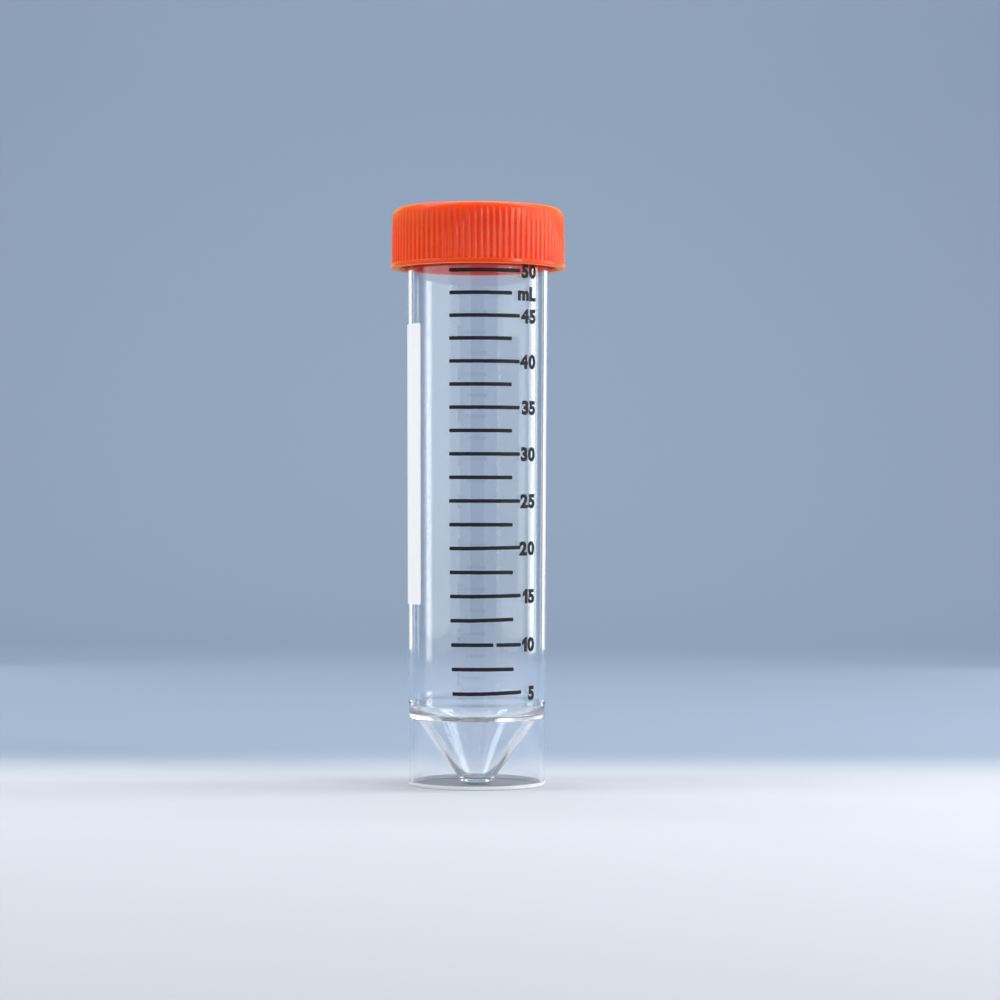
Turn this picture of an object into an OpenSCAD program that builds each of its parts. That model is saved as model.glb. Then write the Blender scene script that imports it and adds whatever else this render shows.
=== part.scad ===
// Self-standing 50 ml conical tube with a ribbed, plug-seal screw cap.
//
// The tube is one clear moulding: a slightly tapered body, a conical bottom, a skirt that it
// stands on and a neck with an external thread. The cap is one opaque moulding: a plain flange,
// fine grip ribs, a flat top, and inside it a thin plug ring that enters the mouth of the tube.
//
// The origin is the centre of the standing face and +Z runs up the tube. Sizes are millimetres.

/* [Tube body] */
// Length of the tube from its standing face to its rim
tube_h = 115; // [95:1:140]
// Outer diameter of the body at the rim
body_d = 28.8; // [23:0.1:36]
// Thickness of the body wall
wall = 1.13; // [0.8:0.01:1.5]
// Taper of the body to each side, in degrees, narrower downwards
draft = 0.25; // [0:0.05:0.5]
// Rounding of the rim's two edges
rim_round = 0.35; // [0.1:0.05:0.5]

/* [Cone and skirt] */
// Height at which the inside wall turns into the cone
cone_top = 15.3; // [13:0.1:30]
// Inner radius of the flat at the bottom of the cone
tip_ri = 2.7; // [1.5:0.1:5]
// Height of the cone's tip above the standing face
tip_gap = 0.45; // [0.2:0.05:2]
// Thickness of the floor of the cone
tip_t = 1.15; // [0.6:0.05:2]
// Thickness of the cone, square to its wall
cone_t = 0.85; // [0.6:0.05:1.3]
// Thickness of the skirt
skirt_t = 0.9; // [0.8:0.05:1.8]
// Distance of the skirt's face behind the face of the body
skirt_step = 0.17; // [0.05:0.01:0.6]
// Height of the middle of that step
skirt_top = 16.6; // [12:0.1:30]
// Height of the short sloping face of that step
step_h = 1; // [0.4:0.1:2]
// Rounding on the inside, where the wall turns into the cone
bore_round = 4; // [0.5:0.5:5]
// Rounding at the top of the notch between cone and skirt
notch_round = 0.2; // [0.1:0.05:0.5]

/* [Neck thread] */
// Height of the thread ridge above the neck
thread_depth = 1.15; // [0.6:0.05:1.6]
// Rise of the thread in one turn
thread_pitch = 3.2; // [2.4:0.1:5]
// Number of turns
thread_turns = 1.75; // [1:0.25:3]
// Direction in which the thread starts, in degrees from +X
thread_angle = 25; // [5:5:355]
// Distance from the rim down to the middle of the thread's upper end
thread_start = 2.6; // [2:0.1:5]
// Width of the ridge where it leaves the neck
thread_root_w = 1.7; // [1:0.1:2.2]
// Width of the ridge's crest
thread_crest_w = 0.7; // [0.3:0.1:1]

/* [Cap] */
// Height of the cap
cap_h = 12.2; // [10:0.1:18]
// Thickness of the cap's top
cap_top_t = 1.6; // [1:0.1:3]
// Thickness of the cap's wall at the foot of its ribs
cap_wall = 1.4; // [1:0.05:2.5]
// Radial gap between the cap's bore and the crest of the neck's thread
cap_clear = 0.3; // [0.2:0.05:0.8]
// Radius of the rounded edge of the top
cap_round = 1.4; // [0.6:0.1:1.5]
// Height of the plain flange at the cap's lower edge
flange_h = 0.9; // [0.6:0.1:2]
// How far the flange stands out beyond the foot of the ribs
flange_out = 0.5; // [0.45:0.05:1.5]

/* [Grip ribs] */
// Number of ribs
rib_count = 88; // [48:4:92]
// Radius of a rib's rounded back
rib_r = 0.42; // [0.3:0.01:0.45]
// How far a rib stands out of the wall
rib_out = 0.25; // [0.15:0.01:0.38]
// How much thinner a rib's back is at its upper end
rib_taper = 0.17; // [0:0.01:0.2]
// Height over which it grows thinner
rib_fade = 3.5; // [1:0.1:7]

/* [Plug seal] */
// Depth that the plug ring reaches into the mouth
plug_depth = 3.5; // [2:0.1:6]
// Thickness of the plug ring at its root
plug_t = 0.95; // [0.6:0.05:1.5]
// Radial running clearance of the plug ring in the mouth
plug_clear = 0.08; // [0.02:0.01:0.2]

/* [Hidden] */

$fn = 144;
// Largest turn between two points of a rounded corner
corner_step = 15;
// Turn between two sections of the thread ridge
thread_step = 8;
// Turn over which each end of the thread grows to its full depth
thread_fade = 40;
// Depth of the ridge at its very ends
thread_end_depth = 0.3;
// Depth to which the ridge's foot is sunk into the neck
thread_sink = 0.35;
// Roundings of the small corners
skirt_round = 0.3;
tip_round = 1;
flange_round = 0.3;
flange_top_round = 0.15;
cap_inner_round = 0.6;
plug_root_round = 0.2;
// Bevel that leads the cap onto the neck
cap_lead = 0.4;
// How far the middle of a rib's nose lies above the start of the top's rounded edge
rib_nose = 0.15;
// How much thinner the plug ring is at its tip, on each face
plug_taper = 0.15;

body_r = body_d / 2;

// Radius of the outside and of the bore at height z
function outer_r(z) = body_r - (tube_h - z) * tan(draft);
function bore_r(z) = outer_r(z) - wall;

// Skirt
skirt_ro = outer_r(skirt_top) - skirt_step;
skirt_ri = skirt_ro - skirt_t;

// Cone: its inside runs from the bore down to the flat of the tip
floor_z = tip_gap + tip_t;
cone_slope = (bore_r(cone_top) - tip_ri) / (cone_top - floor_z);
cone_side_t = cone_t * sqrt(1 + cone_slope * cone_slope);
function cone_ri(z) = tip_ri + (z - floor_z) * cone_slope;
function cone_ro(z) = cone_ri(z) + cone_side_t;
// Height at which the cone's outside meets the inside of the skirt
notch_z = floor_z + (skirt_ri - tip_ri - cone_side_t) / cone_slope;

// Thread
neck_r = outer_r(tube_h - thread_start);
thread_r = neck_r + thread_depth;

// Cap, measured from the rim that it is screwed down on
cap_z0 = tube_h + cap_top_t - cap_h;
cap_z1 = tube_h + cap_top_t;
cap_ri = thread_r + cap_clear;
foot_z = cap_z0 + flange_h;
foot_r = cap_ri + cap_wall;
flange_r = foot_r + flange_out;
plug_ro = bore_r(tube_h) - plug_clear;
plug_ri = plug_ro - plug_t;
plug_z = tube_h - plug_depth;

// A corner [x, y, radius] between its two neighbours, as points along its rounding
function unit(v) = v / norm(v);
function corner(a, b, c) =
    let (
        p = [b[0], b[1]],
        u = unit([a[0], a[1]] - p),
        v = unit([c[0], c[1]] - p),
        half = acos(u * v) / 2,
        centre = p + unit(u + v) * b[2] / sin(half),
        from = p + u * b[2] / tan(half) - centre,
        to = p + v * b[2] / tan(half) - centre,
        start = atan2(from[1], from[0]),
        sweep = asin((from[0] * to[1] - from[1] * to[0]) / (b[2] * b[2])),
        turn = 180 - 2 * half,
        signed_turn = sweep < 0 ? -turn : turn,
        n = ceil(turn / corner_step)
    )
    [for (i = [0:n]) centre + b[2] * [cos(start + signed_turn * i / n), sin(start + signed_turn * i / n)]];

// An outline given as corners, each rounded by its own radius
function rounded(path) =
    [for (i = [0:len(path) - 1])
        let (a = path[(i + len(path) - 1) % len(path)], b = path[i], c = path[(i + 1) % len(path)])
        each b[2] > 0 ? corner(a, b, c) : [[b[0], b[1]]]];

// Half section of the tube, from the skirt's foot up its outside and down its inside
tube_section = [
    [skirt_ri, 0, skirt_round],
    [skirt_ro, 0, skirt_round],
    [skirt_ro, skirt_top - step_h / 2, 0],
    [outer_r(skirt_top + step_h / 2), skirt_top + step_h / 2, 0],
    [outer_r(tube_h), tube_h, rim_round],
    [bore_r(tube_h), tube_h, rim_round],
    [bore_r(cone_top), cone_top, bore_round],
    [tip_ri, floor_z, tip_round],
    [0, floor_z, 0],
    [0, tip_gap, 0],
    [cone_ro(tip_gap), tip_gap, tip_round],
    [skirt_ri, notch_z, notch_round]
];

// Half section of the cap without its ribs
cap_section = [
    [cap_ri + cap_lead, cap_z0, 0],
    [flange_r, cap_z0, flange_round],
    [flange_r, foot_z, flange_top_round],
    [foot_r, foot_z, 0],
    [foot_r, cap_z1, cap_round],
    [0, cap_z1, 0],
    [0, tube_h, 0],
    [plug_ri, tube_h, plug_root_round],
    [plug_ri + plug_taper, plug_z, plug_taper],
    [plug_ro - plug_taper, plug_z, plug_taper],
    [plug_ro, tube_h, plug_root_round],
    [cap_ri, tube_h, cap_inner_round],
    [cap_ri, cap_z0 + cap_lead, 0]
];

// Helical ridge of trapezoid section, with its foot sunk into the neck
module thread_ridge() {
    total = thread_turns * 360;
    n = ceil(total / thread_step);
    foot = neck_r - thread_sink;
    // The flanks keep their slope where they run on inside the neck
    foot_w = thread_root_w + (thread_root_w - thread_crest_w) * thread_sink / thread_depth;
    function depth(a) =
        let (grown = min(1, min(a, total - a) / thread_fade))
        thread_end_depth + (thread_depth - thread_end_depth) * grown;
    function crest_w(a) =
        thread_root_w + (thread_crest_w - thread_root_w) * depth(a) / thread_depth;
    function section(a) =
        let (z = tube_h - thread_start - thread_pitch * a / 360, crest = neck_r + depth(a))
        [[foot, z - foot_w / 2], [crest, z - crest_w(a) / 2], [crest, z + crest_w(a) / 2], [foot, z + foot_w / 2]];
    // The ridge runs clockwise as it goes down, as a right-hand thread does
    points = [
        for (i = [0:n])
        let (a = total * i / n, turn = thread_angle - a)
        for (p = section(a)) [p[0] * cos(turn), p[0] * sin(turn), p[1]]
    ];
    sides = [
        for (i = [0:n - 1], k = [0:3])
        let (q = 4 * i + k, r = 4 * i + (k + 1) % 4)
        each [[q, r + 4, r], [q, q + 4, r + 4]]
    ];
    ends = [[0, 1, 2, 3], [4 * n + 3, 4 * n + 2, 4 * n + 1, 4 * n]];
    polyhedron(points, concat(sides, ends), convexity = 6);
}

// The tube: body, cone, skirt and threaded neck in one piece
module tube() {
    color([0.86, 0.93, 0.98, 0.45])
    union() {
        rotate_extrude() polygon(rounded(tube_section));
        thread_ridge();
    }
}

// One grip rib: an upright rod that grows thinner towards its round nose, sunk into the cap's wall
// and flange
module rib() {
    rib_z0 = foot_z - flange_h / 2;
    rib_len = cap_z1 - cap_round + rib_nose - rib_z0;
    end_r = rib_r - rib_taper;
    translate([foot_r + rib_out - rib_r, 0, rib_z0])
    rotate_extrude($fn = 24)
    union() {
        polygon([[0, 0], [rib_r, 0], [rib_r, rib_len - rib_fade], [end_r, rib_len], [0, rib_len]]);
        intersection() {
            translate([0, rib_len]) circle(r = end_r);
            translate([0, rib_len]) square(end_r);
        }
    }
}

// The cap: flange, ribbed wall, flat top and plug ring in one piece
module cap() {
    color([0.95, 0.32, 0.12])
    union() {
        rotate_extrude() polygon(rounded(cap_section));
        for (i = [0:rib_count - 1]) rotate([0, 0, (i + 0.5) * 360 / rib_count]) rib();
    }
}

tube();
cap();
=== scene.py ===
"""A self-standing 50 ml conical tube of clear plastic, its printed scale and its ribbed orange cap."""

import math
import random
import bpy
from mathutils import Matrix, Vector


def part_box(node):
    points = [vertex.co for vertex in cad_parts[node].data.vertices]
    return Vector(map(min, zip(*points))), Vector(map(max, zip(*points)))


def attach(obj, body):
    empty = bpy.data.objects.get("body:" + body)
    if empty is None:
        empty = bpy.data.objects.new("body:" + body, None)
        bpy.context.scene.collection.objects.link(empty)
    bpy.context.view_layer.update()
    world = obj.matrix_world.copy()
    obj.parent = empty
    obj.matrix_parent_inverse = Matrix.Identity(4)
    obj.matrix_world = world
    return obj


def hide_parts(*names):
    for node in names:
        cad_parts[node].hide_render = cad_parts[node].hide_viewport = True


bl_info = {
    "name": "Conical Tube 50 ml",
    "version": (1, 0, 0),
    "blender": (4, 5, 0),
    "location": "View3D > Sidebar > Conical Tube",
    "description": "Builds a clear conical tube, its printed scale, its screw cap and a studio stage",
    "category": "Object",
}

import bmesh
import bpy
from bpy.props import FloatProperty, FloatVectorProperty, IntProperty, PointerProperty
from bpy.types import Operator, Panel, PropertyGroup
from mathutils import Euler, Vector

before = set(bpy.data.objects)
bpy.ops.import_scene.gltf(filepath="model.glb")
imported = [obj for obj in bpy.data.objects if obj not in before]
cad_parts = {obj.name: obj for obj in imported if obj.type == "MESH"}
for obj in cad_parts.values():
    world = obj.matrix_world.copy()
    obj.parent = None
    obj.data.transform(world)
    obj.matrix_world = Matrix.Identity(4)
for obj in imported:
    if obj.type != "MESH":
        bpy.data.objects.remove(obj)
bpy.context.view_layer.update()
RIM_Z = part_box("tube")[1].z
CAP_LOW_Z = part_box("cap")[0].z
CAP_TOP_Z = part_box("cap")[1].z

# One millimetre in metres, one degree in radians, and one millilitre in cubic metres
MM = 0.001
DEG = math.radians(1)
MILLILITRE = 1e-6

# Columns round the tube, and columns of the cap for each rib: outside and inside
TUBE_COLUMNS = 240
RIB_COLUMNS = 10
INNER_COLUMNS = 2

# Turn between two points of a rounded corner, and how near its ends a straight face is cut
ARC_STEP = 7.5 * DEG
EDGE_CUT = 0.12 * MM

# Rows that keep smooth shading where it belongs: how far one lies from the edge that it supports,
# and the breadth of the plain bands on the cap's top, under its flange and round its mouth
SUPPORT = 0.2 * MM
TOP_BAND = 1.2 * MM
FLANGE_BAND = 0.6 * MM
MOUTH_BAND = 0.5 * MM

# Height of one row of a threaded face, and the turn over which each end of a thread grows
THREAD_ROW = 0.1 * MM
THREAD_FADE = 40 * DEG

# Heights of one row of the ribs' noses and of the ribbed side below them
NOSE_ROW = 0.07 * MM
SIDE_ROW = 3 * MM

# Roundings of the tube's small corners
TIP_ROUND = 1 * MM
SKIRT_ROUND = 0.3 * MM
STEP_ROUND = 0.4 * MM

# Roundings of the cap's small corners, and how much thinner the plug ring is at its tip
FLANGE_ROUND = 0.3 * MM
FLANGE_TOP_ROUND = 0.15 * MM
LEAD_ROUND = 0.15 * MM
INNER_ROUND = 0.6 * MM
PLUG_ROOT_ROUND = 0.2 * MM
PLUG_TAPER = 0.15 * MM

# How far the middle of a rib's nose lies above the start of the top's rounded edge
RIB_NOSE = 0.15 * MM

# Columns from the middle of a rib's back to its foot, as shares of that way
RIB_SHARES = (0, 0.36, 0.67, 0.88, 1)

# Dimple that the moulding's gate left in the cap's top: its depth, and where its side starts and ends
DIMPLE_DEPTH = 0.15 * MM
DIMPLE_FLAT = 0.7 * MM
DIMPLE_EDGE = 0.9 * MM

# Volumes of the printed scale in millilitres: the first mark, the last, from one mark to the next,
# from one numeral to the next, and the mark that the unit stands beside
FIRST_VOLUME = 5
LAST_VOLUME = 50
MARK_STEP = 2.5
NUMERAL_STEP = 5
UNIT_VOLUME = 47.5

# Marks whose right end was printed a little high, by how many millimetres, and the share of the
# line that stays level
LEANING = {20: 0.3, 15: 0.25, 12.5: 0.35, 5: 0.4}
LEVEL_SHARE = 0.3

# The mark that didn't print whole: where its gap starts and ends, in degrees from its left end
BROKEN = {10: (35, 37.5)}

# Slip of the print round the tube at its first mark, the height below which it slips, and how
# suddenly it grows: of the lines' left ends, and of their right ends
LEFT_SLIP = (3 * DEG, 60 * MM, 2)
RIGHT_SLIP = (3.3 * DEG, 80 * MM, 1)

# Letters of the printed scale: added stroke, height and width against the font's own
LETTER_WEIGHT = 0.055
LETTER_TALL = 0.7
LETTER_WIDE = 1.05
LETTER_SPACE = 0.04
LETTER_CUT = 0.11

# Rounding of a line's two ends: where its first columns stand, as shares of the way between two
# plain columns, and how tall the line is at them and from there on, as shares of its thickness
END_PLACES = (0, 0.15, 0.45)
END_HEIGHTS = (0.62, 0.84, 0.96, 1)

# Unevenness of a line's edges, and the turn between two of its columns
LINE_UNEVEN = 0.02 * MM
LINE_CUT = 1.2 * DEG

# Rounding of the writing panel's corners, and the turn between two of its columns
PANEL_CORNER = 0.4 * MM
PANEL_CUT = 1.5 * DEG

# Outline of the figure 1: a stem with a flag
FIGURE_ONE = ((0.17, 0), (0.17, 0.5), (0.02, 0.41), (0.02, 0.52), (0.19, 0.7), (0.26, 0.7), (0.26, 0))

# Turns that light may take on its way through the clear walls, and the brightest that a ray may be
# after its first turn, which keeps specks out
LIGHT_TURNS = 96
RAY_LIMIT = 4

# Height up to which the standing edge is rubbed dull and whitish: wear, and a painted highlight of the
# lit edge
SCUFF_AND_LIT_EDGE_HEIGHT = 0.65 * MM

# Refraction of the two plastics, and roughness of the ink
CLEAR_IOR = 1.53
CAP_IOR = 1.49
INK_ROUGHNESS = 0.6

# Grain of each finish: how many grains lie along a metre of each axis
HAZE_GRAIN = (180, 180, 60)
DRAW_GRAIN = (220, 220, 18)
SCUFF_GRAIN = (900, 900, 900)
SCRATCH_GRAIN = (1500, 1500, 1500)
FLOW_GRAIN = (90, 90, 260)
GLOSS_GRAIN = (2200, 2200, 2200)
MOULD_GRAIN = (5200, 5200, 5200)
INK_GRAIN = (900, 900, 900)
INK_TOOTH_GRAIN = (6000, 6000, 6000)

# Relief of each finish
DRAW_RELIEF = 0.012 * MM
SCRATCH_RELIEF = 0.02 * MM
MOULD_RELIEF = 0.008 * MM
INK_RELIEF = 0.004 * MM

# Floor and backdrop: half width, rows of the floor from front to back, start and radius of the
# curve, its parts, and the top
FLOOR_HALF_WIDTH = 4
FLOOR_ROWS = (-4, -0.3, 0, 0.3)
CURVE_START = 0.55
CURVE_RADIUS = 0.3
CURVE_PARTS = 12
BACKDROP_TOP = 1.4

# Distances behind the axis at which the floor's colour starts and ends turning into the backdrop's
BACKDROP_FADE = (0, 0.08)

# Lamps that stand on the floor and face the axis: turn from the front in degrees, distance, width
# and height, the setting that holds their power, and their share of it
STANDING_LAMPS = {
    "left_softbox": (-72, 0.5, 0.5, 0.5, "side_lamps", 1),
    "left_fill": (-28, 0.5, 0.3, 0.4, "fill_lamp", 1),
    "right_softbox": (70, 0.5, 0.75, 0.5, "side_lamps", 1.15),
    "right_strip": (105, 0.42, 0.12, 0.44, "strip_lamp", 1),
    "left_rim": (-150, 0.45, 0.08, 0.3, "rim_lamps", 1),
    "right_rim": (150, 0.45, 0.08, 0.3, "rim_lamps", 1),
}

# Lamps that hang in the air: turn, distance, height, place that they face, width and height, and
# the setting that holds their power
HANGING_LAMPS = {
    "left_high": (-86, 0.28, 0.5, (0, 0, 0.06), 0.14, 0.35, "high_lamps"),
    "right_high": (92, 0.28, 0.5, (0, 0, 0.06), 0.14, 0.35, "high_lamps"),
    "top_strip": (180, 0.2, 0.55, (0, 0, 0.116), 0.6, 0.04, "top_lamp"),
    "rib_strip": (53, 0.45, 0.158, (0, 0, 0.11), 0.03, 0.04, "rib_lamp"),
    "backdrop_lamp": (180, 0.3, 0.8, (0, 0.85, 0.3), 1.2, 0.2, "backdrop_lamp"),
}

# Gap under the lamps that stand on the floor
LAMP_GAP = 3 * MM

# Gap that keeps two touching faces from sharing one plane
HAIR = 0.008 * MM


# ---------------------------------------------------------------------------------------------
# Sizes and colours that a user would change


def length(name, description, default):
    return FloatProperty(
        name=name, description=description, default=default, min=0, precision=5, unit="LENGTH"
    )


def turn(name, description, degrees):
    return FloatProperty(name=name, description=description, default=degrees * DEG, unit="ROTATION")


def power(name, description, default):
    return FloatProperty(name=name, description=description, default=default, min=0, unit="POWER")


def factor(name, description, default):
    return FloatProperty(
        name=name, description=description, default=default, min=0, max=1, subtype="FACTOR"
    )


def number(name, description, default, low, high):
    return FloatProperty(name=name, description=description, default=default, min=low, max=high)


def colour(name, description, default):
    return FloatVectorProperty(
        name=name, description=description, default=default, min=0, max=1, size=3, subtype="COLOR"
    )


class TubeSizes(PropertyGroup):
    """Sizes of the clear moulding"""

    radius: length("Rim radius", "Outer radius of the body at its rim", 14.4 * MM)
    wall: length("Wall", "Thickness of the body wall", 1.13 * MM)
    draft: turn("Taper", "Taper of the body to each side, narrower downwards", 0.25)
    rim_round: length("Rim rounding", "Radius of the rim's two edges", 0.35 * MM)
    cone_top: length("Cone top", "Height at which the inside wall turns into the cone", 15.3 * MM)
    bore_round: length("Bore rounding", "Rounding where the inside wall turns into the cone", 4 * MM)
    tip_radius: length("Tip radius", "Inner radius of the flat at the bottom of the cone", 2.7 * MM)
    tip_gap: length("Tip gap", "Height of the cone's tip above the standing face", 0.45 * MM)
    tip_floor: length("Tip floor", "Thickness of the floor of the cone", 1.15 * MM)
    cone_wall: length("Cone wall", "Thickness of the cone, square to its wall", 0.85 * MM)
    skirt_wall: length("Skirt wall", "Thickness of the skirt", 0.9 * MM)
    skirt_step: length("Skirt step", "Distance of the skirt's face behind the body's face", 0.17 * MM)
    skirt_top: length("Skirt top", "Height of the middle of that step", 16.6 * MM)
    step_height: length("Step height", "Height of the sloping face of that step", 1 * MM)
    notch_round: length("Notch rounding", "Rounding of the notch between cone and skirt", 0.2 * MM)


class ThreadSizes(PropertyGroup):
    """Sizes of the neck's thread and of the cap's thread that runs in it"""

    depth: length("Depth", "Height of the ridge above the neck", 1.15 * MM)
    pitch: length("Pitch", "Rise of the thread in one turn", 3.2 * MM)
    turns: number("Turns", "Turns of the neck's thread", 1.75, 0.5, 3)
    angle: turn("Start angle", "Direction in which the thread starts", 25)
    start: length("Start", "Distance from the rim to the middle of the thread's upper end", 2.6 * MM)
    root: length("Root width", "Width of the ridge where it leaves the neck", 1.7 * MM)
    crest: length("Crest width", "Width of the ridge's crest", 0.7 * MM)
    cap_turns: number("Cap turns", "Turns of the cap's thread", 1.25, 0.5, 3)
    cap_gap: length("Cap gap", "Distance from the neck to the crest of the cap's thread", 0.35 * MM)
    cap_root: length("Cap root width", "Width of the cap's ridge where it leaves the bore", 1.3 * MM)
    cap_crest: length("Cap crest width", "Width of the crest of the cap's ridge", 0.5 * MM)


class CapSizes(PropertyGroup):
    """Sizes of the screw cap"""

    wall: length("Wall", "Thickness of the cap's wall at the foot of its ribs", 1.4 * MM)
    clearance: length("Clearance", "Gap between the cap's bore and the thread's crest", 0.3 * MM)
    edge_round: length("Edge rounding", "Radius of the rounded edge of the top", 1.4 * MM)
    flange_height: length("Flange height", "Height of the plain flange", 0.9 * MM)
    flange_reach: length("Flange reach", "How far the flange stands out beyond the wall", 0.5 * MM)
    ribs: IntProperty(name="Ribs", description="Number of grip ribs", default=88, min=24, max=92)
    rib_radius: length("Rib radius", "Radius of a rib's rounded back", 0.42 * MM)
    rib_height: length("Rib height", "How far a rib stands out of the wall", 0.25 * MM)
    rib_taper: length("Rib taper", "How much thinner a rib's back is at its upper end", 0.17 * MM)
    rib_fade: length("Rib fade", "Height over which it grows thinner", 3.5 * MM)
    plug_depth: length("Plug depth", "Depth that the plug ring reaches into the mouth", 3.5 * MM)
    plug_wall: length("Plug wall", "Thickness of the plug ring at its root", 0.95 * MM)
    plug_gap: length("Plug gap", "Clearance of the plug ring in the mouth", 0.08 * MM)
    lead: length("Lead", "Bevel that leads the cap onto the neck", 0.4 * MM)


class PrintSizes(PropertyGroup):
    """Places and sizes of the printed scale and of the writing panel"""

    ink: length("Ink", "Thickness of the ink", 0.02 * MM)
    first_mark: length("First mark", "Height of the 5 ml mark", 19.1 * MM)
    last_mark: length("Last mark", "Height of the 50 ml mark", 103.2 * MM)
    line_weight: length("Line weight", "Thickness of a graduation line", 0.74 * MM)
    line_start: turn("Line start", "Direction of the lines' left end, from the front", -23)
    long_end: turn("Long end", "Direction of the right end of a 5 ml line", 36)
    short_end: turn("Short end", "Direction of the right end of a 2.5 ml line", 28.6)
    scale_taper: turn("Scale taper", "Taper of the bore for which the scale was worked out", 0.4)
    numeral_height: length("Numeral height", "Height of a numeral", 2.9 * MM)
    numeral_edge: turn("Numeral edge", "Direction of the right edge of the numerals", 53.8)
    panel_right: turn("Panel right", "Direction of the writing panel's right edge", -53)
    panel_left: turn("Panel left", "Direction of the writing panel's left edge", -116)
    panel_low: length("Panel bottom", "Height of the writing panel's lower edge", 36.6 * MM)
    panel_high: length("Panel top", "Height of the writing panel's upper edge", 93 * MM)


class Finishes(PropertyGroup):
    """Colours and finishes"""

    clear: colour("Clear plastic", "Tint of the clear plastic", (0.975, 0.988, 1.0))
    clear_roughness: factor("Clear roughness", "Roughness of the clear plastic", 0.03)
    cap: colour("Cap", "Colour of the cap", (0.95, 0.03, 0.001))
    cap_pale: colour("Cap, pale", "Shade where the cap's plastic flowed thin", (0.97, 0.055, 0.004))
    cap_roughness: factor("Cap roughness", "Roughness of the cap", 0.2)
    ink: colour("Ink", "Colour of the scale", (0.003, 0.003, 0.006))
    panel: colour("Panel", "Colour of the writing panel", (0.92, 0.925, 0.93))
    floor: colour("Floor", "Colour of the floor round the tube", (0.58, 0.607, 0.648))
    backdrop: colour("Backdrop", "Colour of the floor behind the tube and above", (0.27, 0.34, 0.44))
    distance: colour("Distance", "Colour seen beyond the floor and backdrop", (0.33, 0.41, 0.52))


class StageSizes(PropertyGroup):
    """Camera, lamps and backdrop"""

    distance: length("Distance", "Distance from the camera to the tube's axis", 0.58)
    eye: length("Eye height", "Height of the camera", 0.0576)
    aside: length("Aside", "How far the camera stands to the right of the axis", 0.00456)
    roll: turn("Roll", "Turn of the camera about its line of sight", 0.14)
    lens: FloatProperty(
        name="Lens", description="Focal length in millimetres", default=102.9, min=1, unit="CAMERA"
    )
    side_lamps: power("Side lamps", "Power of each large side lamp", 0.94)
    strip_lamp: power("Strip lamp", "Power of the narrow lamp", 0.75)
    fill_lamp: power("Fill lamp", "Power of the weak lamp at the front left", 0.2)
    high_lamps: power("High lamps", "Power of each lamp high at the side", 0.8)
    top_lamp: power("Top lamp", "Power of the long lamp above, behind the tube", 0.5)
    rib_lamp: power("Rib lamp", "Power of the small lamp that only the cap's ribs reflect", 0.5)
    rim_lamps: power("Rim lamps", "Power of each narrow lamp behind, beside the view", 0.1)
    backdrop_lamp: power("Backdrop lamp", "Power of the lamp that lights the backdrop alone", 4.5)
    ambient: factor("Ambient", "Strength of the light from all round", 0.4)


class ConicalTube(PropertyGroup):
    """All settings of the conical tube"""

    tube: PointerProperty(type=TubeSizes)
    thread: PointerProperty(type=ThreadSizes)
    cap: PointerProperty(type=CapSizes)
    print: PointerProperty(type=PrintSizes)
    finish: PointerProperty(type=Finishes)
    stage: PointerProperty(type=StageSizes)


def settings():
    return bpy.context.scene.conical_tube


# ---------------------------------------------------------------------------------------------
# Forms that both mouldings share


def rounded(corners):
    """Points along an open outline of (radius, height, rounding) corners

    A face is cut near each of its ends, so that smooth shading stays in the corners.
    """
    arcs = [[Vector(corners[0][:2])]]
    for before, corner, after in zip(corners, corners[1:], corners[2:]):
        point = Vector(corner[:2])
        arcs.append([point])
        if corner[2] > 0:
            back = (Vector(before[:2]) - point).normalized()
            ahead = (Vector(after[:2]) - point).normalized()
            half = back.angle(ahead) / 2
            centre = point + (back + ahead).normalized() * corner[2] / math.sin(half)
            start = point + back * corner[2] / math.tan(half) - centre
            sweep = math.pi - 2 * half
            if start.cross(-back) < 0:
                sweep = -sweep
            steps = math.ceil(abs(sweep) / ARC_STEP)
            arcs[-1] = [centre + turned(start, sweep * i / steps) for i in range(steps + 1)]
    arcs.append([Vector(corners[-1][:2])])
    outline = list(arcs[0])
    for arc in arcs[1:]:
        here = outline[-1]
        reach = arc[0] - here
        cut = min(EDGE_CUT, reach.length / 3)
        if reach.length > EDGE_CUT / 2:
            outline.append(here + reach.normalized() * cut)
            if reach.length > 20 * EDGE_CUT:
                outline.append(here + reach.normalized() * 4 * cut)
                outline.append(arc[0] - reach.normalized() * 4 * cut)
            outline.append(arc[0] - reach.normalized() * cut)
        outline.extend(arc)
    return outline


def turned(vector, angle):
    return Vector((
        vector.x * math.cos(angle) - vector.y * math.sin(angle),
        vector.x * math.sin(angle) + vector.y * math.cos(angle),
    ))


def ring(radius, height, angles):
    """Points round the axis; radius may be a number or a function of the angle"""
    if callable(radius):
        return [(radius(a) * math.cos(a), radius(a) * math.sin(a), height) for a in angles]
    return [(radius * math.cos(a), radius * math.sin(a), height) for a in angles]


def skin(mesh, rings):
    """Joins rings of points, from pole to pole, into one closed smooth skin"""
    bm = bmesh.new()
    loops = [[bm.verts.new(point) for point in points] for points in rings]
    for upper, lower in zip(loops, loops[1:]):
        coarse = min(len(upper), len(lower))
        if coarse == 1:
            pole, edge = (upper[0], lower) if len(upper) == 1 else (lower[0], upper)
            for i, vert in enumerate(edge):
                bm.faces.new((pole, vert, edge[(i + 1) % len(edge)]))
            continue
        for i in range(coarse):
            bm.faces.new(span(upper, i, coarse) + span(lower, i, coarse)[::-1])
    bmesh.ops.recalc_face_normals(bm, faces=bm.faces)
    for face in bm.faces:
        face.smooth = True
    bm.to_mesh(mesh)
    bm.free()


def span(loop, index, parts):
    """The verts of one of a loop's equal parts, both ends included"""
    share = len(loop) // parts
    return [loop[(index * share + k) % len(loop)] for k in range(share + 1)]


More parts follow.
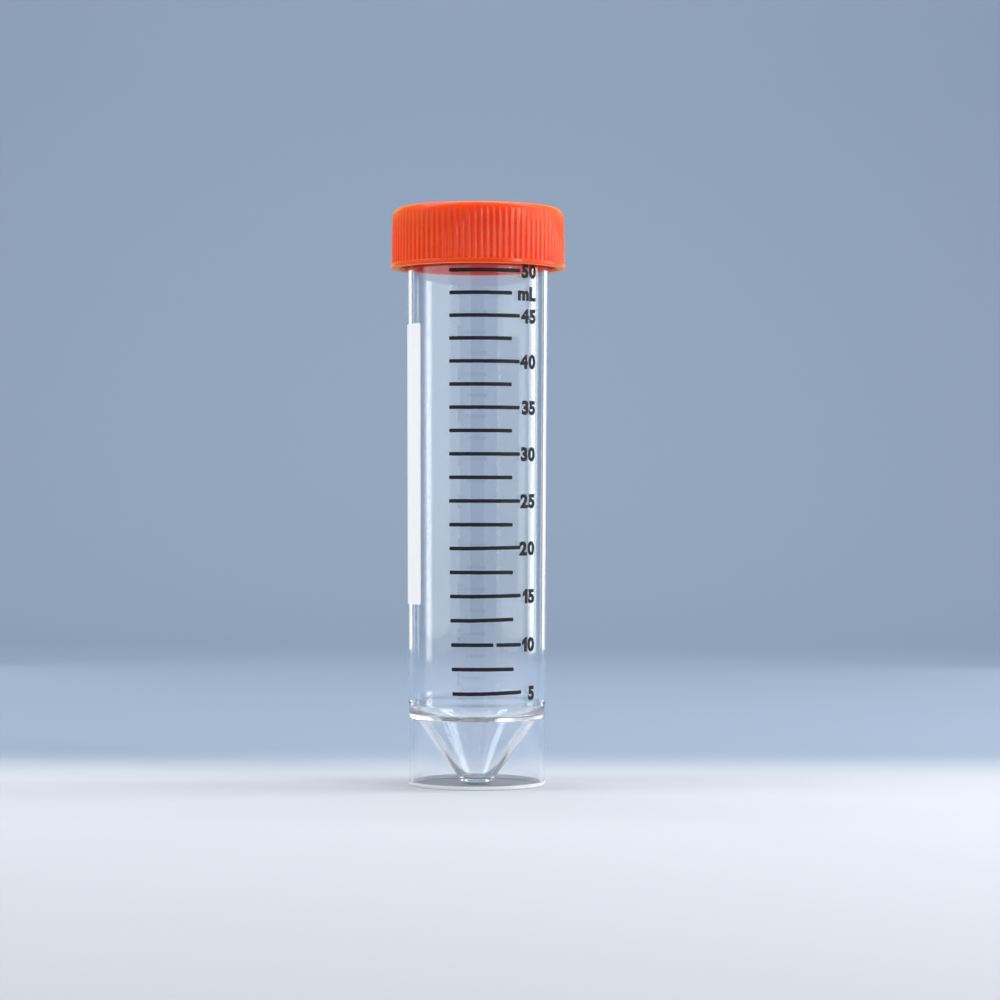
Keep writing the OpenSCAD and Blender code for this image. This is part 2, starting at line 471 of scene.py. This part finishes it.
def new_piece(name, mesh_name):
    mesh = bpy.data.meshes.new(mesh_name)
    piece = bpy.data.objects.new(name, mesh)
    bpy.context.scene.collection.objects.link(piece)
    return piece


def even_turns(count):
    return [2 * math.pi * i / count for i in range(count)]


def rows(low, high, step):
    count = max(1, math.ceil((high - low) / step))
    return [low + (high - low) * i / count for i in range(count + 1)]


def smooth(x):
    x = min(1, max(0, x))
    return x * x * (3 - 2 * x)


# ---------------------------------------------------------------------------------------------
# The clear moulding


def outer_radius(height):
    tube = settings().tube
    return tube.radius - (RIM_Z - height) * math.tan(tube.draft)


def bore_radius(height):
    return outer_radius(height) - settings().tube.wall


def neck_radius():
    return outer_radius(RIM_Z - settings().thread.start)


def ridge(angle, height, first, turns, root, crest):
    """Height of a helical ridge, as a share of its depth; it starts at height first and runs down"""
    thread = settings().thread
    whole = turns * 2 * math.pi
    along = (thread.angle - angle) % (2 * math.pi)
    best = 0
    while along <= whole:
        away = abs(height - first + thread.pitch * along / (2 * math.pi))
        rise = smooth((root / 2 - away) * 2 / (root - crest))
        fade = smooth(min(along, whole - along) / THREAD_FADE)
        best = max(best, rise * fade)
        along += 2 * math.pi
    return best


def tube_rings(columns):
    tube = settings().tube
    thread = settings().thread
    skirt_outer = outer_radius(tube.skirt_top) - tube.skirt_step
    skirt_inner = skirt_outer - tube.skirt_wall
    floor = tube.tip_gap + tube.tip_floor
    slope = (bore_radius(tube.cone_top) - tube.tip_radius) / (tube.cone_top - floor)
    cone_side = tube.cone_wall * math.hypot(1, slope)
    notch = floor + (skirt_inner - tube.tip_radius - cone_side) / slope
    step_low = tube.skirt_top - tube.step_height / 2
    step_high = tube.skirt_top + tube.step_height / 2

    thread_high = RIM_Z - thread.start + thread.root / 2
    thread_low = thread_high - thread.root - thread.turns * thread.pitch
    below = rounded([
        (0, tube.tip_gap, 0),
        (tube.tip_radius + cone_side - tube.tip_floor * slope, tube.tip_gap, TIP_ROUND),
        (skirt_inner, notch, tube.notch_round),
        (skirt_inner, 0, SKIRT_ROUND),
        (skirt_outer, 0, SKIRT_ROUND),
        (skirt_outer, step_low, STEP_ROUND),
        (outer_radius(step_high), step_high, STEP_ROUND),
        (outer_radius(thread_low), thread_low, 0),
    ])
    above = rounded([
        (outer_radius(thread_high), thread_high, 0),
        (outer_radius(RIM_Z), RIM_Z, tube.rim_round),
        (bore_radius(RIM_Z), RIM_Z, tube.rim_round),
        (bore_radius(tube.cone_top), tube.cone_top, tube.bore_round),
        (tube.tip_radius, floor, TIP_ROUND),
        (0, floor, 0),
    ])
    angles = even_turns(columns)
    rings = [[(0, 0, below[0].y)]]
    rings += [ring(point.x, point.y, angles) for point in below[1:]]
    for height in rows(thread_low, thread_high, THREAD_ROW)[1:-1]:
        def threaded(angle):
            grown = ridge(angle, height, RIM_Z - thread.start, thread.turns, thread.root, thread.crest)
            return outer_radius(height) + thread.depth * grown

        rings.append(ring(threaded, height, angles))
    rings += [ring(point.x, point.y, angles) for point in above[:-1]]
    rings.append([(0, 0, above[-1].y)])
    return rings


class TUBE_OT_moulding(Operator):
    """Build the clear tube with its cone, skirt and threaded neck"""

    bl_idname = "conical_tube.moulding"
    bl_label = "Clear Tube"

    def execute(self, context):
        piece = new_piece("tube_moulding", "tube_moulding")
        skin(piece.data, tube_rings(TUBE_COLUMNS))
        piece.data.materials.append(clear_plastic())
        piece.data.materials.append(scuffed_plastic())
        # Faces low at the foot get the whitish finish: rubbed wear, and a painted highlight of the lit
        # edge
        for face in piece.data.polygons:
            face.material_index = int(face.center.z < SCUFF_AND_LIT_EDGE_HEIGHT)
        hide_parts("tube")
        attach(piece, "tube")
        return {"FINISHED"}


# ---------------------------------------------------------------------------------------------
# The cap


def rib_angles(foot):
    """Angles of the columns round the outside: over each rib's back, at its foot, in the groove"""
    cap = settings().cap
    sunk = cap.rib_radius - cap.rib_height
    half = math.sqrt(cap.rib_radius ** 2 - sunk ** 2)
    groove = math.pi / cap.ribs
    side = [share * half / foot for share in RIB_SHARES] + [groove]
    angles = []
    for i in range(cap.ribs):
        middle = (2 * i + 1) * groove
        angles += [middle + a for a in side]
        angles += [middle + 2 * groove - a for a in side[4:0:-1]]
    return angles


def ribbed_radius(height, foot):
    """Radius of the cap's side at a height, as a function of the angle"""
    cap = settings().cap
    groove = math.pi / cap.ribs
    round_z = CAP_TOP_Z - cap.edge_round
    over = min(cap.edge_round, max(0, height - round_z))
    wall = foot - cap.edge_round + math.sqrt(cap.edge_round ** 2 - over ** 2)
    nose_z = round_z + RIB_NOSE
    fade = min(1, max(0, 1 - (nose_z - height) / cap.rib_fade))
    back = cap.rib_radius - cap.rib_taper * fade
    nose = min(back, max(0, height - nose_z))
    back = math.sqrt(back ** 2 - nose ** 2)
    centre = foot + cap.rib_height - cap.rib_radius

    def radius(angle):
        off = (angle % (2 * groove) - groove) * foot
        if abs(off) >= back:
            return wall
        return max(wall, centre + math.sqrt(back ** 2 - off ** 2))

    return radius


def cap_rings():
    cap = settings().cap
    thread = settings().thread
    bore = neck_radius() + thread.depth + cap.clearance
    foot = bore + cap.wall
    flange = foot + cap.flange_reach
    foot_z = CAP_LOW_Z + cap.flange_height
    round_z = CAP_TOP_Z - cap.edge_round
    under = RIM_Z + HAIR
    ribbed = rib_angles(foot)
    inner = ribbed[::RIB_COLUMNS // INNER_COLUMNS]

    # Top, with the small dimple that the moulding's gate leaves in its middle
    dimple = CAP_TOP_Z - DIMPLE_DEPTH
    flat = foot - cap.edge_round
    rings = [[(0, 0, dimple)]]
    rings.append(ring(DIMPLE_FLAT - SUPPORT, dimple, inner))
    rings.append(ring(DIMPLE_FLAT, dimple, inner))
    rings.append(ring(DIMPLE_EDGE, CAP_TOP_Z, inner))
    rings.append(ring(DIMPLE_EDGE + SUPPORT, CAP_TOP_Z, inner))
    rings.append(ring(flat - TOP_BAND, CAP_TOP_Z, inner))
    rings.append(ring(flat - EDGE_CUT, CAP_TOP_Z, ribbed))

    # Rounded edge, rib noses and ribbed side
    steps = math.ceil(90 * DEG / ARC_STEP)
    heights = [round_z + cap.edge_round * math.cos(i * 90 * DEG / steps) for i in range(steps + 1)]
    heights += rows(round_z - SUPPORT, round_z + RIB_NOSE + cap.rib_radius, NOSE_ROW)
    heights += rows(foot_z, round_z - SUPPORT, SIDE_ROW)[:-1] + [foot_z + EDGE_CUT]
    for height in sorted(set(round(height, 6) for height in heights), reverse=True):
        rings.append(ring(ribbed_radius(height, foot), height, ribbed))

    # Flange
    edge = rounded([
        (flange - SUPPORT, foot_z, 0),
        (flange, foot_z, FLANGE_TOP_ROUND),
        (flange, CAP_LOW_Z, FLANGE_ROUND),
        (flange - FLANGE_BAND, CAP_LOW_Z, 0),
    ])
    rings += [ring(point.x, point.y, ribbed) for point in edge]

    # Bore, with the ridge that runs in the neck's thread
    first = RIM_Z - thread.start - thread.pitch / 2
    high = first + thread.cap_root / 2
    low = high - thread.cap_root - thread.cap_turns * thread.pitch
    depth = bore - neck_radius() - thread.cap_gap
    mouth = rounded([
        (bore + cap.lead + MOUTH_BAND, CAP_LOW_Z, 0),
        (bore + cap.lead, CAP_LOW_Z, LEAD_ROUND),
        (bore, CAP_LOW_Z + cap.lead, LEAD_ROUND),
        (bore, low, 0),
    ])
    rings += [ring(point.x, point.y, inner) for point in mouth]
    for height in rows(low, high, THREAD_ROW)[1:-1]:
        def threaded(angle):
            grown = ridge(angle, height, first, thread.cap_turns, thread.cap_root, thread.cap_crest)
            return bore - depth * grown

        rings.append(ring(threaded, height, inner))

    # Underside of the top, and the plug ring
    plug_outer = bore_radius(RIM_Z) - cap.plug_gap
    plug_inner = plug_outer - cap.plug_wall
    plug_z = RIM_Z - cap.plug_depth
    inside = rounded([
        (bore, high, 0),
        (bore, under, INNER_ROUND),
        (plug_outer, under, PLUG_ROOT_ROUND),
        (plug_outer - PLUG_TAPER, plug_z, PLUG_TAPER),
        (plug_inner + PLUG_TAPER, plug_z, PLUG_TAPER),
        (plug_inner, under, PLUG_ROOT_ROUND),
        (0, under, 0),
    ])
    rings += [ring(point.x, point.y, inner) for point in inside[:-1]]
    rings.append([(0, 0, under)])
    return rings


class TUBE_OT_cap(Operator):
    """Build the orange screw cap with its ribs, flange, thread and plug ring"""

    bl_idname = "conical_tube.cap"
    bl_label = "Screw Cap"

    def execute(self, context):
        piece = new_piece("cap_moulding", "cap_moulding")
        skin(piece.data, cap_rings())
        piece.data.materials.append(cap_plastic())
        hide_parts("cap")
        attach(piece, "cap")
        return {"FINISHED"}


# ---------------------------------------------------------------------------------------------
# Ink on the tube: directions are turns from the front, towards +X


def on_tube(direction, height, lift):
    radius = outer_radius(height) + lift
    return Vector((radius * math.sin(direction), -radius * math.cos(direction), height))


def mark_height(volume):
    """Height of a graduation: the bore widens upwards, so the marks come closer together"""
    sizes = settings().print
    start = bore_radius(sizes.first_mark)
    spread = math.tan(sizes.scale_taper)

    def rise(millilitres):
        swept = start ** 3 + 3 * spread * (millilitres - FIRST_VOLUME) * MILLILITRE / math.pi
        return (swept ** (1 / 3) - start) / spread

    share = rise(volume) / rise(LAST_VOLUME)
    return sizes.first_mark + (sizes.last_mark - sizes.first_mark) * share


def slip(height, most, highest, growth):
    """How far round the print slipped to the right, more and more towards the foot"""
    return most * max(0, (highest - height) / (highest - settings().print.first_mark)) ** growth


def ink_strip(bm, columns):
    """A closed shell of ink from columns of (direction, low height, high height)"""
    ink = settings().print.ink
    loops = []
    for direction, low, high in columns:
        corners = ((low, HAIR), (high, HAIR), (high, HAIR + ink), (low, HAIR + ink))
        loops.append([bm.verts.new(on_tube(direction, height, lift)) for height, lift in corners])
    for here, there in zip(loops, loops[1:]):
        for i in range(4):
            bm.faces.new((here[i], here[i - 1], there[i - 1], there[i]))
    bm.faces.new(loops[0])
    bm.faces.new(loops[-1][::-1])


def finish_ink(bm, piece, material):
    bmesh.ops.recalc_face_normals(bm, faces=bm.faces)
    bm.to_mesh(piece.data)
    bm.free()
    piece.data.materials.append(material)
    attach(piece, "tube")


def graduation(bm, volume, random_edge):
    """One printed line, with the slightly uneven edges and rounded ends of pad printing"""
    sizes = settings().print
    major = volume % NUMERAL_STEP == 0
    middle = mark_height(volume)
    left = sizes.line_start + slip(middle, *LEFT_SLIP)
    right = (sizes.long_end if major else sizes.short_end) + slip(middle, *RIGHT_SLIP)
    lean = LEANING.get(volume, 0) * MM
    spans = [(left, right)]
    if volume in BROKEN:
        spans = [(left, left + BROKEN[volume][0] * DEG), (left + BROKEN[volume][1] * DEG, right)]
    for begin, end in spans:
        count = math.ceil((end - begin) / LINE_CUT)
        shares = [place / count for place in END_PLACES] + [i / count for i in range(1, count)]
        shares += [1 - place / count for place in END_PLACES[::-1]]
        columns = []
        for i, share in enumerate(shares):
            direction = begin + (end - begin) * share
            lift = lean * max(0, (direction - left) / (right - left) - LEVEL_SHARE)
            half = sizes.line_weight / 2 * END_HEIGHTS[min(i, len(shares) - 1 - i, 3)]
            low = middle + lift - half + random_edge.uniform(-LINE_UNEVEN, LINE_UNEVEN)
            high = middle + lift + half + random_edge.uniform(-LINE_UNEVEN, LINE_UNEVEN)
            columns.append((direction, low, high))
        ink_strip(bm, columns)


class TUBE_OT_graduations(Operator):
    """Print the graduation lines, every 2.5 ml from 5 to 50"""

    bl_idname = "conical_tube.graduations"
    bl_label = "Graduations"

    def execute(self, context):
        piece = new_piece("graduation_lines", "graduation_lines")
        bm = bmesh.new()
        random_edge = random.Random(5)
        steps = round((LAST_VOLUME - FIRST_VOLUME) / MARK_STEP)
        for i in range(steps + 1):
            graduation(bm, FIRST_VOLUME + MARK_STEP * i, random_edge)
        finish_ink(bm, piece, ink_material("black_ink", settings().finish.ink))
        return {"FINISHED"}


def glyph(letter):
    """A flat letter with thickness 1, its foot at 0, as a bmesh; the figure 1 has a flag"""
    if letter == "1":
        curve = bpy.data.curves.new("glyph", "CURVE")
        curve.dimensions = "2D"
        curve.fill_mode = "BOTH"
        outline = curve.splines.new("POLY")
        outline.points.add(len(FIGURE_ONE) - 1)
        for point, (x, y) in zip(outline.points, FIGURE_ONE):
            point.co = (x, y, 0, 1)
        outline.use_cyclic_u = True
    else:
        curve = bpy.data.curves.new("glyph", "FONT")
        curve.body = letter
        curve.resolution_u = 5
    curve.offset = LETTER_WEIGHT
    curve.extrude = 0.5
    holder = bpy.data.objects.new("glyph", curve)
    bpy.context.scene.collection.objects.link(holder)
    graph = bpy.context.evaluated_depsgraph_get()
    mesh = bpy.data.meshes.new_from_object(holder.evaluated_get(graph))
    bpy.data.objects.remove(holder)
    bpy.data.curves.remove(curve)
    own = bmesh.new()
    own.from_mesh(mesh)
    bpy.data.meshes.remove(mesh)
    bmesh.ops.remove_doubles(own, verts=own.verts, dist=1e-5)
    left = min(vert.co.x for vert in own.verts)
    foot = min(vert.co.y for vert in own.verts)
    bmesh.ops.translate(own, verts=own.verts, vec=(-left, -foot, 0))
    return own, max(vert.co.x for vert in own.verts)


def lettering(bm, text, height, right, middle):
    """Prints text on the tube, its right edge at a direction and its middle at a height"""
    ink = settings().print.ink
    scale = height / (LETTER_TALL + 2 * LETTER_WEIGHT)
    radius = outer_radius(middle)
    edge = right
    for letter in reversed(text):
        own, wide = glyph(letter)
        cut = LETTER_CUT
        while cut < wide:
            whole = own.verts[:] + own.edges[:] + own.faces[:]
            bmesh.ops.bisect_plane(own, geom=whole, plane_co=(cut, 0, 0), plane_no=(1, 0, 0))
            cut += LETTER_CUT
        made = {}
        for vert in own.verts:
            direction = edge + (vert.co.x - wide) * scale * LETTER_WIDE / radius
            rise = vert.co.y * scale - height / 2
            lift = HAIR + (vert.co.z + 0.5) * ink
            made[vert] = bm.verts.new(on_tube(direction, middle + rise, lift))
        for face in own.faces:
            bm.faces.new([made[vert] for vert in face.verts])
        own.free()
        edge -= (wide + LETTER_SPACE) * scale * LETTER_WIDE / radius


class TUBE_OT_numerals(Operator):
    """Print the numerals 5 to 50 and the unit"""

    bl_idname = "conical_tube.numerals"
    bl_label = "Numerals"

    def execute(self, context):
        sizes = settings().print
        piece = new_piece("graduation_numerals", "graduation_numerals")
        bm = bmesh.new()
        for volume in range(FIRST_VOLUME, LAST_VOLUME + NUMERAL_STEP, NUMERAL_STEP):
            middle = mark_height(volume)
            edge = sizes.numeral_edge + slip(middle, *LEFT_SLIP) / 3
            lettering(bm, str(volume), sizes.numeral_height, edge, middle)
        lettering(bm, "mL", sizes.numeral_height, sizes.numeral_edge, mark_height(UNIT_VOLUME))
        finish_ink(bm, piece, ink_material("numeral_ink", settings().finish.ink))
        return {"FINISHED"}


class TUBE_OT_panel(Operator):
    """Print the white writing panel on the side of the tube"""

    bl_idname = "conical_tube.panel"
    bl_label = "Writing Panel"

    def execute(self, context):
        sizes = settings().print
        piece = new_piece("writing_panel", "writing_panel")
        bm = bmesh.new()
        turn_in = PANEL_CORNER / outer_radius(sizes.panel_high)
        ease = [1 - math.cos(i * 15 * DEG) for i in range(6)]
        directions = [sizes.panel_left + turn_in * share for share in ease]
        count = math.ceil((sizes.panel_right - sizes.panel_left) / PANEL_CUT)
        inner_width = sizes.panel_right - sizes.panel_left - 2 * turn_in
        directions += [sizes.panel_left + turn_in + inner_width * i / count for i in range(count + 1)]
        directions += [sizes.panel_right - turn_in * share for share in ease[::-1]]
        columns = []
        for direction in directions:
            near = min(direction - sizes.panel_left, sizes.panel_right - direction) / turn_in
            inset = PANEL_CORNER * (1 - math.sqrt(max(0, 1 - (1 - min(1, near)) ** 2)))
            columns.append((direction, sizes.panel_low + inset, sizes.panel_high - inset))
        ink_strip(bm, columns)
        finish_ink(bm, piece, ink_material("panel_ink", settings().finish.panel))
        return {"FINISHED"}


# ---------------------------------------------------------------------------------------------
# Finishes


def new_material(name):
    """A material, its node tree and its Principled shader"""
    material = bpy.data.materials.new(name)
    material.use_nodes = True
    shader = material.node_tree.nodes["Principled BSDF"]
    return material, material.node_tree, shader


def rgba(colour_value):
    return (*colour_value, 1)


def coordinates(tree, stretch):
    """Object coordinates, scaled along each axis; a piece's object sits at the origin"""
    place = tree.nodes.new("ShaderNodeTexCoord")
    mapping = tree.nodes.new("ShaderNodeMapping")
    mapping.inputs["Scale"].default_value = stretch
    tree.links.new(place.outputs["Object"], mapping.inputs["Vector"])
    return mapping.outputs["Vector"]


def noise(tree, stretch, detail=3, roughness=0.5):
    """Noise whose grain is one unit of the stretched coordinates"""
    texture = tree.nodes.new("ShaderNodeTexNoise")
    texture.inputs["Scale"].default_value = 1
    texture.inputs["Detail"].default_value = detail
    texture.inputs["Roughness"].default_value = roughness
    tree.links.new(coordinates(tree, stretch), texture.inputs["Vector"])
    return texture.outputs["Fac"]


def spread(tree, value, low, high):
    """Maps a noise from its usual span to low..high"""
    span_node = tree.nodes.new("ShaderNodeMapRange")
    span_node.inputs["From Min"].default_value = 0.3
    span_node.inputs["From Max"].default_value = 0.7
    span_node.inputs["To Min"].default_value = low
    span_node.inputs["To Max"].default_value = high
    tree.links.new(value, span_node.inputs["Value"])
    return span_node.outputs["Result"]


def blended(tree, value, first, second):
    """A colour between two others, by a noise"""
    mix = tree.nodes.new("ShaderNodeMix")
    mix.data_type = "RGBA"
    mix.inputs["A"].default_value = rgba(first)
    mix.inputs["B"].default_value = rgba(second)
    tree.links.new(spread(tree, value, 0, 1), mix.inputs["Factor"])
    return mix.outputs["Result"]


def bumped(tree, shader, value, height, strength=1.0):
    """Adds relief of a height in metres to a shader, over what it already has"""
    bump = tree.nodes.new("ShaderNodeBump")
    bump.inputs["Strength"].default_value = strength
    bump.inputs["Distance"].default_value = height
    tree.links.new(value, bump.inputs["Height"])
    for link in list(tree.links):
        if link.to_socket == shader.inputs["Normal"]:
            tree.links.new(link.from_socket, bump.inputs["Normal"])
    tree.links.new(bump.outputs["Normal"], shader.inputs["Normal"])


def clear_plastic():
    finish = settings().finish
    material, tree, shader = new_material("clear_plastic")
    shader.inputs["Transmission Weight"].default_value = 1
    shader.inputs["IOR"].default_value = CLEAR_IOR
    shader.inputs["Base Color"].default_value = rgba(finish.clear)
    haze = noise(tree, HAZE_GRAIN, 4)
    roughness = spread(tree, haze, finish.clear_roughness * 0.5, finish.clear_roughness * 1.5)
    tree.links.new(roughness, shader.inputs["Roughness"])
    bumped(tree, shader, noise(tree, DRAW_GRAIN, 2), DRAW_RELIEF)
    return material


def scuffed_plastic():
    """The plastic where the standing edge rubbed dull, its whitish colour partly a painted highlight
    """
    material, tree, shader = new_material("scuffed_plastic")
    shader.inputs["Transmission Weight"].default_value = 0.35
    shader.inputs["IOR"].default_value = CLEAR_IOR
    # Whitish base under part transmission: frosted wear, and a painted highlight of light let out at
    # the edge
    shader.inputs["Base Color"].default_value = (0.95, 0.97, 1, 1)
    roughness = spread(tree, noise(tree, SCUFF_GRAIN, 4), 0.3, 0.6)
    tree.links.new(roughness, shader.inputs["Roughness"])
    bumped(tree, shader, noise(tree, SCRATCH_GRAIN, 3), SCRATCH_RELIEF)
    return material


def cap_plastic():
    finish = settings().finish
    material, tree, shader = new_material("cap_plastic")
    shader.inputs["Subsurface Weight"].default_value = 0.85
    shader.inputs["Subsurface Radius"].default_value = (1, 0.25, 0.08)
    shader.inputs["Subsurface Scale"].default_value = 5 * MM
    shader.inputs["IOR"].default_value = CAP_IOR
    shader.inputs["Specular IOR Level"].default_value = 0.2
    shader.inputs["Sheen Weight"].default_value = 1
    shader.inputs["Sheen Roughness"].default_value = 0.5
    shader.inputs["Sheen Tint"].default_value = (1, 0.45, 0.08, 1)
    flow = noise(tree, FLOW_GRAIN, 4)
    tree.links.new(blended(tree, flow, finish.cap, finish.cap_pale), shader.inputs["Base Color"])
    gloss = noise(tree, GLOSS_GRAIN, 3)
    roughness = spread(tree, gloss, finish.cap_roughness - 0.06, finish.cap_roughness + 0.06)
    tree.links.new(roughness, shader.inputs["Roughness"])
    bumped(tree, shader, noise(tree, MOULD_GRAIN, 2), MOULD_RELIEF)
    return material


def ink_material(name, ink_colour):
    material, tree, shader = new_material(name)
    shader.inputs["Specular IOR Level"].default_value = 0.25
    density = noise(tree, INK_GRAIN, 4)
    thin = [min(1, part + 0.01) for part in ink_colour]
    tree.links.new(blended(tree, density, ink_colour, thin), shader.inputs["Base Color"])
    roughness = spread(tree, density, INK_ROUGHNESS - 0.08, INK_ROUGHNESS + 0.08)
    tree.links.new(roughness, shader.inputs["Roughness"])
    bumped(tree, shader, noise(tree, INK_TOOTH_GRAIN, 2), INK_RELIEF)
    return material


# ---------------------------------------------------------------------------------------------
# Stage


def floor_material():
    """Plain pale floor, which turns into a deeper backdrop behind the tube"""
    finish = settings().finish
    material, tree, shader = new_material("pale_floor")
    shader.inputs["Roughness"].default_value = 0.85
    shader.inputs["Specular IOR Level"].default_value = 0.2
    split = tree.nodes.new("ShaderNodeSeparateXYZ")
    tree.links.new(coordinates(tree, (1, 1, 1)), split.inputs["Vector"])
    fade = tree.nodes.new("ShaderNodeMapRange")
    fade.interpolation_type = "SMOOTHSTEP"
    fade.inputs["From Min"].default_value = BACKDROP_FADE[0]
    fade.inputs["From Max"].default_value = BACKDROP_FADE[1]
    tree.links.new(split.outputs["Y"], fade.inputs["Value"])
    mix = tree.nodes.new("ShaderNodeMix")
    mix.data_type = "RGBA"
    mix.inputs["A"].default_value = rgba(finish.floor)
    mix.inputs["B"].default_value = rgba(finish.backdrop)
    tree.links.new(fade.outputs["Result"], mix.inputs["Factor"])
    tree.links.new(mix.outputs["Result"], shader.inputs["Base Color"])
    return material


def studio_world():
    """Even soft light from all round

    Seen directly, in a reflection or through the tube, it has the colour of the distance.
    """
    world = bpy.data.worlds.new("studio")
    world.use_nodes = True
    tree = world.node_tree
    light = tree.nodes["Background"]
    light.inputs["Color"].default_value = (0.95, 0.98, 1, 1)
    light.inputs["Strength"].default_value = settings().stage.ambient
    seen = tree.nodes.new("ShaderNodeBackground")
    seen.inputs["Color"].default_value = rgba(settings().finish.distance)
    path = tree.nodes.new("ShaderNodeLightPath")
    total = path.outputs["Is Camera Ray"]
    for ray in ("Is Glossy Ray", "Is Transmission Ray"):
        both = tree.nodes.new("ShaderNodeMath")
        both.operation = "MAXIMUM"
        tree.links.new(total, both.inputs[0])
        tree.links.new(path.outputs[ray], both.inputs[1])
        total = both.outputs[0]
    choose = tree.nodes.new("ShaderNodeMixShader")
    tree.links.new(total, choose.inputs["Fac"])
    tree.links.new(light.outputs["Background"], choose.inputs[1])
    tree.links.new(seen.outputs["Background"], choose.inputs[2])
    tree.links.new(choose.outputs["Shader"], tree.nodes["World Output"].inputs["Surface"])
    return world


def soft_lamp(name, place, aim, width, height, energy):
    lamp = bpy.data.lights.new(name, "AREA")
    lamp.shape = "RECTANGLE"
    lamp.size = width
    lamp.size_y = height
    lamp.energy = energy
    holder = bpy.data.objects.new(name, lamp)
    holder.location = place
    holder.rotation_euler = (Vector(aim) - Vector(place)).to_track_quat("-Z", "Y").to_euler()
    holder.visible_camera = False
    bpy.context.scene.collection.objects.link(holder)


def round_about(azimuth, distance, height):
    """A place at a turn from the front, towards +X, and a distance from the axis"""
    return (distance * math.sin(azimuth * DEG), -distance * math.cos(azimuth * DEG), height)


def light_up():
    stage = settings().stage
    for name, (azimuth, distance, width, height, setting, share) in STANDING_LAMPS.items():
        middle = height / 2 + LAMP_GAP
        place = round_about(azimuth, distance, middle)
        soft_lamp(name, place, (0, 0, middle), width, height, getattr(stage, setting) * share)
    for name, (azimuth, distance, rise, aim, width, height, setting) in HANGING_LAMPS.items():
        place = round_about(azimuth, distance, rise)
        soft_lamp(name, place, aim, width, height, getattr(stage, setting))


def lay_floor():
    """A floor that runs up into a backdrop in one curve"""
    floor = new_piece("floor", "floor")
    turns = [i * 90 * DEG / CURVE_PARTS for i in range(CURVE_PARTS + 1)]
    profile = [(row, 0) for row in FLOOR_ROWS]
    for angle in turns:
        away = CURVE_START + CURVE_RADIUS * math.sin(angle)
        profile.append((away, CURVE_RADIUS - CURVE_RADIUS * math.cos(angle)))
    profile.append((CURVE_START + CURVE_RADIUS, BACKDROP_TOP))
    bm = bmesh.new()
    across = (-FLOOR_HALF_WIDTH, 0, FLOOR_HALF_WIDTH)
    strips = [[bm.verts.new((x, y, z)) for y, z in profile] for x in across]
    for left, right in zip(strips, strips[1:]):
        for i in range(len(profile) - 1):
            bm.faces.new((left[i], right[i], right[i + 1], left[i + 1])).smooth = True
    bm.to_mesh(floor.data)
    bm.free()
    floor.data.materials.append(floor_material())


class TUBE_OT_stage(Operator):
    """Set the pale floor and backdrop, the soft lamps and the camera"""

    bl_idname = "conical_tube.stage"
    bl_label = "Stage"

    def execute(self, context):
        stage = settings().stage
        scene = context.scene
        lay_floor()
        scene.world = studio_world()
        light_up()

        lens = bpy.data.cameras.new("camera")
        lens.lens = stage.lens
        lens.sensor_width = 36
        camera = bpy.data.objects.new("camera", lens)
        camera.location = (stage.aside, -stage.distance, stage.eye)
        camera.rotation_euler = Euler((90 * DEG, -stage.roll, 0))
        scene.collection.objects.link(camera)
        scene.camera = camera
        scene.view_settings.view_transform = "Standard"
        scene.cycles.max_bounces = LIGHT_TURNS
        scene.cycles.transmission_bounces = LIGHT_TURNS
        scene.cycles.glossy_bounces = LIGHT_TURNS
        scene.cycles.sample_clamp_indirect = RAY_LIMIT
        return {"FINISHED"}


class TUBE_PT_sidebar(Panel):
    """Lists the steps that build the conical tube"""

    bl_label = "Conical Tube"
    bl_idname = "TUBE_PT_sidebar"
    bl_space_type = "VIEW_3D"
    bl_region_type = "UI"
    bl_category = "Conical Tube"

    def draw(self, context):
        for step in STEPS:
            self.layout.operator(step.bl_idname)


GROUPS = (TubeSizes, ThreadSizes, CapSizes, PrintSizes, Finishes, StageSizes, ConicalTube)
STEPS = (
    TUBE_OT_stage,
    TUBE_OT_moulding,
    TUBE_OT_cap,
    TUBE_OT_graduations,
    TUBE_OT_numerals,
    TUBE_OT_panel,
)


def register():
    for item in (*GROUPS, *STEPS, TUBE_PT_sidebar):
        bpy.utils.register_class(item)
    bpy.types.Scene.conical_tube = PointerProperty(type=ConicalTube)


def unregister():
    del bpy.types.Scene.conical_tube
    for item in reversed((*GROUPS, *STEPS, TUBE_PT_sidebar)):
        bpy.utils.unregister_class(item)


def main():
    register()
    bpy.ops.conical_tube.stage()
    bpy.ops.conical_tube.moulding()
    bpy.ops.conical_tube.cap()
    bpy.ops.conical_tube.graduations()
    bpy.ops.conical_tube.numerals()
    bpy.ops.conical_tube.panel()


if __name__ == "__main__":
    main()
